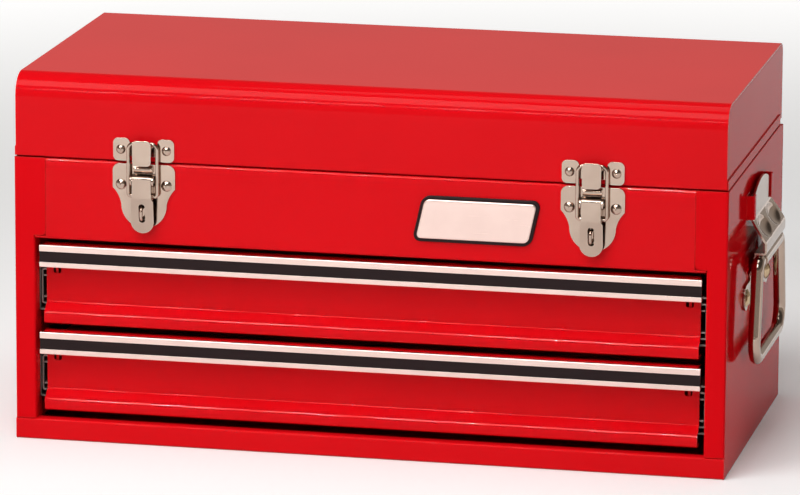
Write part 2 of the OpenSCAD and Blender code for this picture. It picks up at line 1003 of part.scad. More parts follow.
module latch_base(side) {
  lug_in = lever_half_w + lug_gap;
  color(nickel)
    latch_at(side)
      difference() {
        union() {
          front_plate(0, plate_t)
            latch_base_outline();
          // Half-round bridge above the lever
          translate([-lever_half_w, -plate_t, bridge_z])
            rotate([0, 90, 0])
              intersection() {
                cylinder(h = 2 * lever_half_w, r = bridge_r);
                translate([-bridge_r, -bridge_r, 0])
                  cube([2 * bridge_r, bridge_r + plate_t / 2, 2 * lever_half_w]);
              }
          // Lugs that hold the pin
          latch_pair(lug_in, lug_in + plate_t) {
            translate(pivot)
              circle(lug_r);
            translate([plate_t / 2, pivot[1] - lug_r])
              square([pivot[0] - plate_t / 2, 2 * lug_r]);
          }
        }
        latch_base_holes();
        translate([0, -pivot[0], pivot[1]])
          rotate([0, 90, 0])
            cylinder(h = latch_w, r = latch_pin_d / 2, center = true);
      }
}

module latch_pin(side) {
  half_l = lever_half_w + lug_gap + plate_t + pin_stand;
  color(nickel)
    latch_at(side)
      translate([0, -pivot[0], pivot[1]])
        rotate([0, 90, 0])
          cylinder(h = 2 * half_l, d = latch_pin_d, center = true);
}

module lever_outline() {
  top = lever_top + 2 * lever_bend_r;
  translate([-lever_half_w, tongue_taper[0]])
    square([2 * lever_half_w, top - tongue_taper[0]]);
  polygon([
    [-lever_half_w, tongue_taper[0]],
    [lever_half_w, tongue_taper[0]],
    [tongue_half_w, tongue_taper[1]],
    [tongue_half_w, tongue_z],
    [-tongue_half_w, tongue_z],
    [-tongue_half_w, tongue_taper[1]]
  ]);
  translate([0, tongue_z])
    circle(tongue_half_w);
}

// Lever: a folded face with a cheek on each side, turning on the pin and carrying the loop
module latch_lever(side) {
  face = pivot[0] + 2.8;
  slot_mid = (lever_slot[0] + lever_slot[1]) / 2;
  color(nickel)
    latch_at(side)
      difference() {
        union() {
          intersection() {
            upright()
              linear_extrude(2 * tongue_half_w, center = true)
                folded([
                  [pivot[0], lever_top],
                  [face, lever_top],
                  [face, tongue_taper[0]],
                  [pivot[0] - lever_tip_in, tongue_z - tongue_half_w]
                ], plate_t, lever_bend_r);
            front_plate(0, 2 * face)
              lever_outline();
          }
          latch_pair(lever_half_w - plate_t, lever_half_w) {
            translate(pivot)
              circle(cheek_r);
            translate(loop_pivot)
              circle(cheek_foot_r);
            polygon([
              [pivot[0] - cheek_r, pivot[1]],
              [pivot[0], pivot[1] + cheek_r],
              [face, pivot[1] + cheek_r - plate_t],
              [face, loop_pivot[1] - cheek_foot_r + plate_t],
              [loop_pivot[0], loop_pivot[1] - cheek_foot_r],
              [loop_pivot[0] - cheek_foot_r, loop_pivot[1]]
            ]);
          }
        }
        translate([0, -pivot[0], pivot[1]])
          rotate([0, 90, 0])
            cylinder(h = latch_w, r = latch_pin_d / 2 + running, center = true);
        translate([0, -loop_pivot[0], loop_pivot[1]])
          rotate([0, 90, 0])
            cylinder(h = latch_w, r = wire_d / 2 + running, center = true);
        // Slot for the staple
        front_plate(0, 2 * face)
          translate([0, slot_mid])
            rounded(lever_slot_w, lever_slot[0] - lever_slot[1], lever_slot_w / 2 - eps);
      }
}

module latch_loop(side) {
  foot = lever_half_w - plate_t + bar_gap;
  bar_z = hook_shelf + bar_gap + wire_d / 2;
  color(nickel)
    latch_at(side)
      translate([0, -loop_pivot[0], 0])
        rotate([90, 0, 0])
          rod([
            [foot, loop_pivot[1]],
            [loop_half_w, loop_pivot[1]],
            [loop_half_w, bar_z],
            [-loop_half_w, bar_z],
            [-loop_half_w, loop_pivot[1]],
            [-foot, loop_pivot[1]]
          ], wire_d, [loop_foot_r, loop_corner_r, loop_corner_r, loop_foot_r]);
}

// Padlock staple through the slot of the lever, riveted over behind the front panel
module latch_staple(side) {
  color(nickel)
    latch_at(side) {
      upright()
        rod([
          [-t, staple_z[0]],
          [staple_out, staple_z[0]],
          [staple_out, staple_z[1]],
          [-t, staple_z[1]]
        ], staple_wire, staple_r);
      for (z = staple_z)
        translate([0, t, z])
          rotate([-90, 0, 0])
            cylinder(h = tail_h, r = staple_wire);
    }
}

// Catch on the lid: an ear on each side and a hooked tongue in the middle
module latch_catch(side) {
  ear_w = ear_out - ear_in;
  ear_h = catch_top - catch_bottom;
  color(nickel)
    latch_at(side)
      difference() {
        union() {
          front_plate(0, catch_t) {
            for (i = [-1, 1])
              translate([i * (ear_in + ear_out) / 2, (catch_top + catch_bottom) / 2])
                rounded(ear_w, ear_h, ear_corner_r);
            translate([-ear_in - ear_corner_r, catch_bottom + ear_corner_r])
              square([2 * (ear_in + ear_corner_r), hook_shelf - catch_bottom - ear_corner_r]);
          }
          intersection() {
            upright()
              linear_extrude(2 * hook_half_w, center = true)
                hook_profile();
            front_plate(0, 2 * hook_face)
              translate([0, (hook_top + hook_bottom) / 2])
                rounded(2 * hook_half_w, hook_top - hook_bottom, hook_corner_r);
          }
        }
        latch_catch_holes();
      }
}

// The hook stands on the shelf that the loop pulls down on
module hook_profile() {
  translate([catch_t / 2, hook_shelf - catch_t])
    square([hook_face - catch_t / 2 - hook_t / 2, catch_t]);
  translate([hook_face - hook_t, hook_bottom])
    square([hook_t, hook_top - hook_bottom - hook_t / 2]);
  translate([hook_face - hook_t / 2, hook_top - hook_t / 2])
    circle(d = hook_t);
}

module latch_catch_holes() {
  for (i = [-1, 1])
    translate([i * rivet_x, 0, catch_rivet_z])
      rotate([90, 0, 0])
        cylinder(h = 6 * t, r = shank_r + running, center = true);
}

// Rivet through the front with its head on a plate of thickness p
module front_rivet(p, head_r) {
  rotate([90, 0, 0]) {
    translate([0, 0, p])
      dome(head_r, latch_rivet_h);
    translate([0, 0, -t - eps])
      cylinder(h = p + t + 2 * eps, r = shank_r);
    translate([0, 0, -t - tail_h])
      cylinder(h = tail_h, r = tail_r);
  }
}

module latch_base_rivets() {
  color(nickel)
    for (side = [-1, 1], i = [-1, 1])
      latch_at(side)
        translate([i * rivet_x, 0, base_rivet_z])
          front_rivet(plate_t, base_rivet_r);
}

module latch_catch_rivets() {
  color(nickel)
    for (side = [-1, 1], i = [-1, 1])
      latch_at(side)
        translate([i * rivet_x, 0, catch_rivet_z])
          front_rivet(catch_t, catch_rivet_r);
}

// ---- Side handles -----------------------------------------------------------------------------

module handle_at() {
  translate([half_w, 0, bail_z])
    children();
}

// Plate parallel to the side panel, from out0 to out1, drawn in Y and Z
module side_plate(out0, out1) {
  translate([(out0 + out1) / 2, 0, 0])
    across(out1 - out0)
      children();
}

// Upper plate of the bracket, with a flat arch along its top
module bracket_plate_outline() {
  a = [-plate_half_w, plate_side_top];
  b = [plate_half_w, plate_side_top];
  s = plate_top - plate_side_top;
  intersection() {
    translate([0, (plate_top + hood_foot) / 2])
      rounded(2 * plate_half_w, plate_top - hood_foot + 2 * plate_corner_r, plate_corner_r);
    translate([0, plate_top - arc_radius(a, b, s)])
      circle(arc_radius(a, b, s));
    translate([-plate_half_w, hood_foot + bracket_t])
      square([2 * plate_half_w, plate_top]);
  }
}

module right_bracket() {
  color(nickel)
    handle_at()
      difference() {
        union() {
          side_plate(plate_out - bracket_t / 2, plate_out + bracket_t / 2)
            bracket_plate_outline();
          // Hood over the pivot, with a return along its lower edge
          difference() {
            along(-hood_half_l, hood_half_l)
              folded([
                [plate_out, hood_foot + 2 * bracket_t],
                [plate_out, hood_foot],
                [hood_out, hood_shoulder],
                [hood_out, hood_low],
                [hood_return, hood_low]
              ], bracket_t, [3, 5, 1.6]);
            for (i = [0, 1])
              mirror([0, i, 0])
                translate([0, plate_half_w + joint_gap, tab_low - joint_gap])
                  cube([plate_out + bracket_t, far, far]);
          }
          // Barrel round the pins of the handle
          rotate([90, 0, 0])
            translate([bail_out, 0, 0])
              cylinder(h = 2 * barrel_half_l, r = barrel_r, center = true);
          // Strap from the barrel down to the side panel
          along(-strap_half_l, strap_half_l)
            folded([
              [bail_out - barrel_r + bracket_t / 2, 0],
              [bail_out - barrel_r + bracket_t / 2, -barrel_r],
              [bracket_t / 2, -strap_land],
              [bracket_t / 2, -strap_end + ear_r]
            ], bracket_t, [2.5, 2.5]);
          side_plate(0, bracket_t)
            bracket_foot_outline();
        }
        rotate([90, 0, 0])
          translate([bail_out, 0, 0])
            cylinder(h = 2 * barrel_half_l + 2, r = bail_pin_d / 2 + running, center = true);
        for (i = [-1, 1])
          translate([-eps, i * ear_y, -ear_drop])
            rotate([0, 90, 0])
              cylinder(h = 2 * bracket_t, r = handle_shank_r + running);
      }
}

// Foot of the bracket, with an ear at each end for a rivet
module bracket_foot_outline() {
  difference() {
    union() {
      for (i = [-1, 1])
        translate([i * ear_y, -ear_drop])
          circle(ear_r);
      translate([-ear_y, -ear_drop - ear_r])
        square([2 * ear_y, 2 * ear_r]);
    }
    translate([0, -ear_drop - ear_r - ear_notch_r + ear_r])
      circle(ear_notch_r);
  }
}

module right_bail() {
  end = barrel_half_l + bail_end_gap;
  color(nickel)
    handle_at()
      translate([bail_out, 0, 0])
        rotate([90, 0, 90]) {
          rod([
            [end, 0],
            [bail_top_w / 2, 0],
            [bail_grip_w / 2, -bail_drop],
            [-bail_grip_w / 2, -bail_drop],
            [-bail_top_w / 2, 0],
            [-end, 0]
          ], bail_d, [bail_top_r, bail_grip_r, bail_grip_r, bail_top_r]);
          for (i = [-1, 1])
            translate([i * (end - bail_pin_l / 2), 0, 0])
              rotate([0, 90, 0])
                cylinder(h = bail_pin_l, d = bail_pin_d, center = true);
        }
}

module handle_rivets() {
  color(gold)
    for (side = [0, 1], i = [-1, 1])
      mirror([side, 0, 0])
        handle_at()
          translate([0, i * ear_y, -ear_drop])
            rotate([0, 90, 0]) {
              translate([0, 0, bracket_t])
                dome(handle_rivet_r, handle_rivet_h);
              translate([0, 0, -t - eps])
                cylinder(h = bracket_t + t + 2 * eps, r = handle_shank_r);
              translate([0, 0, -t - tail_h])
                cylinder(h = tail_h, r = handle_tail_r);
            }
}

// ---- Left-hand copies and the list of nodes ------------------------------------------------------

module left() {
  mirror([1, 0, 0])
    children();
}

left() color(red) right_side();  // left_side_panel
color(red) right_side();  // right_side_panel
back_panel();
bottom_pan();
front_panel();
compartment_floor();
left() right_posts();  // left_slide_posts
right_posts();  // right_slide_posts
left() cabinet_rail(1);  // upper_left_cabinet_rail
cabinet_rail(1);  // upper_right_cabinet_rail
left() cabinet_rail(0);  // lower_left_cabinet_rail
cabinet_rail(0);  // lower_right_cabinet_rail
left() middle_rail(1);  // upper_left_middle_rail
middle_rail(1);  // upper_right_middle_rail
left() middle_rail(0);  // lower_left_middle_rail
middle_rail(0);  // lower_right_middle_rail
left() drawer_rail(1);  // upper_left_drawer_rail
drawer_rail(1);  // upper_right_drawer_rail
left() drawer_rail(0);  // lower_left_drawer_rail
drawer_rail(0);  // lower_right_drawer_rail
drawer_tub(1);  // upper_drawer_tub
drawer_tub(0);  // lower_drawer_tub
drawer_front(1);  // upper_drawer_front
drawer_front(0);  // lower_drawer_front
pull_rail(1);  // upper_pull_rail
pull_rail(0);  // lower_pull_rail
pull_insert(1);  // upper_pull_insert
pull_insert(0);  // lower_pull_insert
lid_shell();
left() lid_right_end_solid();  // lid_left_end
lid_right_end_solid();  // lid_right_end
hinge_cabinet_leaf();
hinge_lid_leaf();
hinge_pin();
latch_base(-1);  // left_latch_base
latch_base(1);  // right_latch_base
latch_lever(-1);  // left_latch_lever
latch_lever(1);  // right_latch_lever
latch_loop(-1);  // left_latch_loop
latch_loop(1);  // right_latch_loop
latch_pin(-1);  // left_latch_pin
latch_pin(1);  // right_latch_pin
latch_staple(-1);  // left_latch_staple
latch_staple(1);  // right_latch_staple
latch_catch(-1);  // left_latch_catch
latch_catch(1);  // right_latch_catch
latch_base_rivets();
latch_catch_rivets();
left() right_bracket();  // left_handle_bracket
right_bracket();  // right_handle_bracket
left() right_bail();  // left_handle_bail
right_bail();  // right_handle_bail
handle_rivets();
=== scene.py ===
import json
import math

import bmesh
import bpy
from mathutils import Matrix, Vector


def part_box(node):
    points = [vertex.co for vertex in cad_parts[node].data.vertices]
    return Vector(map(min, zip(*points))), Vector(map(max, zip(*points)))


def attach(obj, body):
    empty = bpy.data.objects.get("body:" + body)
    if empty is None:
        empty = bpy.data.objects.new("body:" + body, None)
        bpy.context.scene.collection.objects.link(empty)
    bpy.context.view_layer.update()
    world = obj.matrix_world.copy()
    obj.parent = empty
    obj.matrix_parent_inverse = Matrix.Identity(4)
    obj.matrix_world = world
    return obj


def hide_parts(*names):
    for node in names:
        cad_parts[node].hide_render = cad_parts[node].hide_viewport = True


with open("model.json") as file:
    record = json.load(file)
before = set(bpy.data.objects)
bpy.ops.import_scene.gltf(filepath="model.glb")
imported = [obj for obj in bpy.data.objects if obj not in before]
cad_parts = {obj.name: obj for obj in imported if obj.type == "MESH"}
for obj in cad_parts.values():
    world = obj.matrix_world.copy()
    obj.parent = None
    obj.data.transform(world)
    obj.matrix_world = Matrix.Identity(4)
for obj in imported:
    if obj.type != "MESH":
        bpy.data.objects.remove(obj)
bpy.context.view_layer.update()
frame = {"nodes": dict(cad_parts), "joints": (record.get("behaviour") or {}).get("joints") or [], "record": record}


# ---- Camera ---------------------------------------------------------------------------------------
# Fitted to the photograph. Angles are in degrees, lengths in metres, lens and sensor in millimetres.
AZIMUTH = 12.07572
ELEVATION = 12.78064
ROLL = 0.32229
DISTANCE = 4.29106
TARGET = Vector((-0.00109, -0.009, 0.12618))
LENS = 269.95
SENSOR = 36
CLIP_NEAR = 0.05
CLIP_FAR = 60


def make_camera():
    a, e, r = (math.radians(v) for v in (AZIMUTH, ELEVATION, ROLL))
    back = Vector((math.sin(a) * math.cos(e), -math.cos(a) * math.cos(e), math.sin(e)))
    right = (-back).cross(Vector((0, 0, 1))).normalized()
    up = right.cross(-back)
    rolled_right = math.cos(r) * right + math.sin(r) * up
    rolled_up = -math.sin(r) * right + math.cos(r) * up
    data = bpy.data.cameras.new("camera")
    data.lens = LENS
    data.sensor_width = SENSOR
    data.sensor_fit = "HORIZONTAL"
    data.clip_start = CLIP_NEAR
    data.clip_end = CLIP_FAR
    camera = bpy.data.objects.new("camera", data)
    rotation = Matrix((rolled_right, rolled_up, back)).transposed().to_4x4()
    camera.matrix_world = Matrix.Translation(TARGET + DISTANCE * back) @ rotation
    bpy.context.scene.collection.objects.link(camera)
    bpy.context.scene.camera = camera


# ---- Node helpers ---------------------------------------------------------------------------------
SRGB_KNEE = 10
BEVEL_SAMPLES = 4
EDGE_DOT_LOW = 0.8
EDGE_DOT_HIGH = 0.99


def srgb(*channels):
    """Linear colour, with alpha, of three sRGB numbers from 0 to 255."""
    linear = []
    for v in channels:
        linear.append(((v / 255 + 0.055) / 1.055) ** 2.4 if v > SRGB_KNEE else v / 255 / 12.92)
    return (*linear, 1.0)


def new_material(name):
    m = bpy.data.materials.new(name)
    m.use_nodes = True
    nodes = m.node_tree.nodes
    return m, nodes, m.node_tree.links, nodes["Principled BSDF"]


def noise_at(nodes, links, scale, stretch=(1, 1, 1), detail=3.0, rough=0.55):
    """Noise in the object's own metres, stretched along its axes."""
    coord = nodes.new("ShaderNodeTexCoord")
    mapping = nodes.new("ShaderNodeMapping")
    mapping.inputs["Scale"].default_value = stretch
    noise = nodes.new("ShaderNodeTexNoise")
    noise.inputs["Scale"].default_value = scale
    noise.inputs["Detail"].default_value = detail
    noise.inputs["Roughness"].default_value = rough
    links.new(coord.outputs["Object"], mapping.inputs["Vector"])
    links.new(mapping.outputs["Vector"], noise.inputs["Vector"])
    return noise.outputs["Fac"]


def ranged(nodes, links, value, low, high, from_low=0.25, from_high=0.75):
    """value, mapped from its own range to low..high. The first range suits a noise."""
    node = nodes.new("ShaderNodeMapRange")
    node.inputs["From Min"].default_value = from_low
    node.inputs["From Max"].default_value = from_high
    node.inputs["To Min"].default_value = low
    node.inputs["To Max"].default_value = high
    links.new(value, node.inputs["Value"])
    return node.outputs["Result"]


def joined(nodes, links, operation, value_a, value_b):
    """The result of one Math node on two sockets."""
    node = nodes.new("ShaderNodeMath")
    node.operation = operation
    links.new(value_a, node.inputs[0])
    links.new(value_b, node.inputs[1])
    return node.outputs[0]


def mixed(nodes, links, factor, colour_a, colour_b):
    """colour_a where factor is 0 and colour_b where it is 1. colour_a is a colour or a socket."""
    mix = nodes.new("ShaderNodeMix")
    mix.data_type = "RGBA"
    if isinstance(colour_a, tuple):
        mix.inputs["A"].default_value = colour_a
    else:
        links.new(colour_a, mix.inputs["A"])
    mix.inputs["B"].default_value = colour_b
    links.new(factor, mix.inputs["Factor"])
    return mix.outputs["Result"]


def rounded(nodes, radius):
    """The surface's normal as if its sharp edges were rounded to that radius."""
    bevel = nodes.new("ShaderNodeBevel")
    bevel.samples = BEVEL_SAMPLES
    bevel.inputs["Radius"].default_value = radius
    return bevel.outputs["Normal"]


def edge_mask(nodes, links, radius):
    """1 on sharp edges and 0 away from them."""
    shape = nodes.new("ShaderNodeNewGeometry")
    dot = nodes.new("ShaderNodeVectorMath")
    dot.operation = "DOT_PRODUCT"
    links.new(rounded(nodes, radius), dot.inputs[0])
    links.new(shape.outputs["Normal"], dot.inputs[1])
    return ranged(nodes, links, dot.outputs["Value"], 1, 0, from_low=EDGE_DOT_LOW, from_high=EDGE_DOT_HIGH)


def patchy_edge_mask(nodes, links, radius, scale, low, high):
    """The edge mask, broken up by noise of that scale between low and high."""
    patches = noise_at(nodes, links, scale, detail=4)
    return joined(nodes, links, "MULTIPLY", edge_mask(nodes, links, radius),
                  ranged(nodes, links, patches, low, high))


def bumped(nodes, links, height, distance, strength, normal):
    """normal, bumped by height."""
    bump = nodes.new("ShaderNodeBump")
    bump.inputs["Distance"].default_value = distance
    bump.inputs["Strength"].default_value = strength
    links.new(height, bump.inputs["Height"])
    links.new(normal, bump.inputs["Normal"])
    return bump.outputs["Normal"]


# ---- Materials ------------------------------------------------------------------------------------
# Radii and distances are in metres. Colours are (main, deeper, edge): the two that the surface drifts between, and
# the paler one
# of its edges: on the enamel partly thinner paint and partly a painted highlight, on the metals partly rubbing and
# partly a painted highlight, on the vinyl scuffs.
RED = (srgb(217, 12, 22), srgb(209, 10, 19), srgb(234, 74, 62))
NICKEL = (srgb(190, 169, 154), srgb(174, 152, 138), srgb(240, 226, 212))
RIVET = (srgb(212, 186, 150), srgb(196, 168, 134), srgb(240, 224, 196))
ZINC = (srgb(150, 142, 136), srgb(132, 125, 120), srgb(176, 168, 162))
ALUMINIUM = (srgb(246, 218, 209), srgb(238, 209, 200), srgb(255, 238, 230))
BLACK = (srgb(40, 25, 26), srgb(30, 19, 20), srgb(84, 66, 64))
PAINT_IOR = 1.15
SIDE_PAINT_IOR = 1.065
VINYL_IOR = 1.25
ALONG_X = (0.02, 1, 1)


def paint(name, colours, ior):
    """Sprayed and baked enamel: faint orange peel, a little cloudiness, and paler edges that are partly thinner
    paint and partly a painted highlight.
    """
    colour, deeper, thin_paint_and_highlight = colours
    m, nodes, links, shader = new_material(name)
    cloud = ranged(nodes, links, noise_at(nodes, links, scale=7, detail=2), low=0, high=1)
    # Paler red along the sharp edges: partly thinner paint, partly a painted highlight on the folds
    wear_and_highlight = patchy_edge_mask(nodes, links, radius=0.0008, scale=90, low=0.15, high=0.7)
    tone = mixed(nodes, links, wear_and_highlight, mixed(nodes, links, cloud, colour, deeper), thin_paint_and_highlight)
    links.new(tone, shader.inputs["Base Color"])
    fine = noise_at(nodes, links, scale=60, detail=4)
    links.new(ranged(nodes, links, fine, low=0.04, high=0.08), shader.inputs["Roughness"])
    peel = noise_at(nodes, links, scale=330, detail=1.5, rough=0.4)
    edge = rounded(nodes, radius=0.0005)
    normal = bumped(nodes, links, peel, distance=0.0002, strength=0.02, normal=edge)
    links.new(normal, shader.inputs["Normal"])
    shader.inputs["IOR"].default_value = ior
    return m


def metal(name, colours, rough, grain=(1, 1, 1), grain_scale=420, grain_depth=0.04):
    """Plated or bare metal: cloudy tone, a fine grain in gloss and height, and paler edges that are partly rubbed
    and partly a painted highlight.
    """
    colour, deeper, rubbed_and_highlight = colours
    m, nodes, links, shader = new_material(name)
    cloud = ranged(nodes, links, noise_at(nodes, links, scale=45), low=0, high=1)
    # Paler metal along the sharp edges: partly rubbing, partly a painted highlight on them
    rubbed_and_highlight_mask = patchy_edge_mask(nodes, links, radius=0.0006, scale=160, low=0.3, high=0.9)
    tone = mixed(nodes, links, rubbed_and_highlight_mask, mixed(nodes, links, cloud, colour, deeper), rubbed_and_highlight)
    links.new(tone, shader.inputs["Base Color"])
    shader.inputs["Metallic"].default_value = 1.0
    lines = noise_at(nodes, links, grain_scale, stretch=grain, detail=5)
    links.new(ranged(nodes, links, lines, *rough), shader.inputs["Roughness"])
    edge = rounded(nodes, radius=0.0003)
    normal = bumped(nodes, links, lines, distance=0.0001, strength=grain_depth, normal=edge)
    links.new(normal, shader.inputs["Normal"])
    return m


def ribbed_vinyl(name, colours):
    """Vinyl strip: fine lines along its length, a soft sheen and paler scuffs on its edges."""
    colour, deeper, scuffed = colours
    m, nodes, links, shader = new_material(name)
    lines = noise_at(nodes, links, scale=900, stretch=ALONG_X, detail=2)
    scuff = patchy_edge_mask(nodes, links, radius=0.0005, scale=120, low=0.1, high=0.6)
    tone = mixed(nodes, links, ranged(nodes, links, lines, low=0, high=1), colour, deeper)
    links.new(mixed(nodes, links, scuff, tone, scuffed), shader.inputs["Base Color"])
    grain = noise_at(nodes, links, scale=260, detail=4)
    links.new(ranged(nodes, links, grain, low=0.4, high=0.55), shader.inputs["Roughness"])
    edge = rounded(nodes, radius=0.0003)
    normal = bumped(nodes, links, lines, distance=0.0001, strength=0.25, normal=edge)
    links.new(normal, shader.inputs["Normal"])
    shader.inputs["IOR"].default_value = VINYL_IOR
    return m


MATERIALS = {
    "red_paint": paint("red_enamel", RED, PAINT_IOR),
    "nickel_plate": metal("nickel", NICKEL, rough=(0.08, 0.17)),
    "rivet_plate": metal("rivet", RIVET, rough=(0.14, 0.24)),
    "zinc_plate": metal("zinc", ZINC, rough=(0.42, 0.55)),
    "pull_aluminium": metal("aluminium", ALUMINIUM, rough=(0.26, 0.34), grain=ALONG_X,
                            grain_scale=900, grain_depth=0.015),
    "black_strip": ribbed_vinyl("black_vinyl", BLACK),
}
# The ends mirror the pale floor at a grazing angle, so their enamel reflects less
SIDE_PAINT = paint("red_enamel_sides", RED, SIDE_PAINT_IOR)
SIDE_NODES = ("left_side_panel", "right_side_panel", "lid_left_end", "lid_right_end")


def assign(material, name):
    data = frame["nodes"][name].data
    data.materials.clear()
    data.materials.append(material)


def dress_cad_nodes():
    for row in frame["record"]["subparts"]:
        name = row["node"]
        assign(SIDE_PAINT if name in SIDE_NODES else MATERIALS[row["material_slot"]], name)


# ---- Studio ---------------------------------------------------------------------------------------
# Each lamp: its place, what it points at, its width and height, all in metres, and its watts
LAMPS = {
    "key": ((-0.5, -1.35, 2.3), (0, 0, 0.13), (2.2, 1.2), 54),
    "top": ((0.1, 0.2, 2.4), (0, 0, 0.2), (1.2, 1.2), 11),
    "strip": ((-0.7, -2.2, 1.45), (0, 0, 0.13), (1.6, 0.03), 13),
    "glint": ((-0.3, -2.2, 1.45), (0, 0, 0.13), (3.0, 0.06), 800),
}
GLINT_NODES = ("upper_drawer_front", "lower_drawer_front", "front_panel")
ROOM_COLOUR = (1.0, 0.93, 0.84, 1)
FLOOR_HALF = 12
FLOOR_DROP = 0.0002
FLOOR_COLOUR = (0.85, 0.85, 0.85, 1)


def area_light(name, place, aim, size, watts):
    data = bpy.data.lights.new(name, "AREA")
    data.shape = "RECTANGLE"
    data.size, data.size_y = size
    data.energy = watts
    lamp = bpy.data.objects.new(name, data)
    direction = Vector(aim) - Vector(place)
    turn = direction.to_track_quat("-Z", "Y").to_matrix().to_4x4()
    lamp.matrix_world = Matrix.Translation(place) @ turn
    bpy.context.scene.collection.objects.link(lamp)
    return lamp


def make_lamps():
    """Soft lamps. The glint is only seen in the gloss of the folded fronts, as the lines on their folds."""
    lamps = {name: area_light(name, *numbers) for name, numbers in LAMPS.items()}
    folded = bpy.data.collections.new("folded_fronts")
    for name in GLINT_NODES:
        folded.objects.link(frame["nodes"][name])
    lamps["glint"].visible_diffuse = False
    lamps["glint"].light_linking.receiver_collection = folded


def make_world():
    """A dim room that is paler near the horizon."""
    world = bpy.data.worlds.new("studio")
    bpy.context.scene.world = world
    world.use_nodes = True
    nodes, links = world.node_tree.nodes, world.node_tree.links
    room = nodes["Background"]
    coord = nodes.new("ShaderNodeTexCoord")
    split = nodes.new("ShaderNodeSeparateXYZ")
    links.new(coord.outputs["Generated"], split.inputs[0])
    strength = ranged(nodes, links, split.outputs["Z"], low=0.4, high=0.08, from_low=0.25, from_high=0.5)
    room.inputs["Color"].default_value = ROOM_COLOUR
    links.new(strength, room.inputs["Strength"])


def make_floor():
    """Pale paper that keeps the shadow, and is lifted to white away from the object for what sees it."""
    mesh = bpy.data.meshes.new("floor")
    b = bmesh.new()
    bmesh.ops.create_grid(b, x_segments=1, y_segments=1, size=FLOOR_HALF)
    b.to_mesh(mesh)
    b.free()
    floor = bpy.data.objects.new("floor", mesh)
    floor.location = (0, 0, -FLOOR_DROP)
    bpy.context.scene.collection.objects.link(floor)
    m, nodes, links, shader = new_material("floor_paper")
    shader.inputs["Base Color"].default_value = FLOOR_COLOUR
    shader.inputs["Roughness"].default_value = 0.9
    shader.inputs["Specular IOR Level"].default_value = 0.1
    coord = nodes.new("ShaderNodeTexCoord")
    far = nodes.new("ShaderNodeVectorMath")
    far.operation = "LENGTH"
    links.new(coord.outputs["Object"], far.inputs[0])
    path = nodes.new("ShaderNodeLightPath")
    seen = joined(nodes, links, "MAXIMUM", path.outputs["Is Camera Ray"], path.outputs["Is Glossy Ray"])
    seen = joined(nodes, links, "MAXIMUM", seen, path.outputs["Is Transmission Ray"])
    lift = ranged(nodes, links, far.outputs["Value"], low=0.12, high=0.8, from_low=0.7, from_high=2.2)
    lift.node.interpolation_type = "SMOOTHSTEP"
    shader.inputs["Emission Color"].default_value = (1, 1, 1, 1)
    links.new(joined(nodes, links, "MULTIPLY", seen, lift), shader.inputs["Emission Strength"])
    mesh.materials.append(m)


# ---- Pieces ---------------------------------------------------------------------------------------
def new_piece(name, b, slot):
    """The closed mesh b as a piece that is fixed to the cabinet."""
    bmesh.ops.recalc_face_normals(b, faces=b.faces)
    mesh = bpy.data.meshes.new(name)
    b.to_mesh(mesh)
    b.free()
    mesh.materials.append(MATERIALS[slot])
    piece = bpy.data.objects.new(name, mesh)
    bpy.context.scene.collection.objects.link(piece)
    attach(piece, "cabinet")
    return piece


def bridge(b, low, high):
    """Faces between two closed rings of vertices."""
    for k in range(len(low)):
        n = (k + 1) % len(low)
        b.faces.new((low[k], low[n], high[n], high[k]))


# ---- Name plate -----------------------------------------------------------------------------------
# A blank plate in the badge's place, in metres. A profile is a list of (inset from the outline,
# distance out).
NAME_X = 0.078
NAME_Z = 0.175
NAME_HALF_W = 0.042
NAME_HALF_H = 0.0163
NAME_CORNER = 0.006
NAME_SLANT = 0.22
NAME_BORDER = 0.0024
BASE_PROFILE = ((0, 0.0001), (0, 0.0014), (0.0003, 0.0018), (0.0008, 0.002))
FACE_PROFILE = ((0, 0), (0, 0.0004), (0.0002, 0.0007), (0.0006, 0.0009), (0.0014, 0.001))
CORNER_STEPS = 8


def rounded_outline(half_w, half_h, corner):
    """Points (x, z) round a leaning rectangle with round corners, anticlockwise seen from the front."""
    points = []
    for i, (sx, sz) in enumerate(((1, -1), (1, 1), (-1, 1), (-1, -1))):
        for k in range(CORNER_STEPS + 1):
            a = math.radians(-90 + 90 * (i + k / CORNER_STEPS))
            x = sx * (half_w - corner) + corner * math.cos(a)
            z = sz * (half_h - corner) + corner * math.sin(a)
            points.append((x + NAME_SLANT * z, z))
    return points


def plate(name, y, border, profile, slot):
    """A closed plate in front of y, smaller than the name plate's outline by border."""
    b = bmesh.new()
    rings = []
    for inset, out in profile:
        outline = rounded_outline(NAME_HALF_W - border - inset, NAME_HALF_H - border - inset,
                                  NAME_CORNER - border - inset)
        rings.append([b.verts.new((NAME_X + x, y - out, NAME_Z + z)) for x, z in outline])
    for low, high in zip(rings, rings[1:]):
        bridge(b, low, high)
    for face in b.faces:
        face.smooth = True
    b.faces.new(rings[-1])
    b.faces.new(list(reversed(rings[0])))
    new_piece(name, b, slot)


def make_name_plate():
    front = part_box("front_panel")[0].y
    plate("name_plate_base", front, 0, BASE_PROFILE, "black_strip")
    plate("name_plate_face", front - BASE_PROFILE[-1][1], NAME_BORDER, FACE_PROFILE, "pull_aluminium")


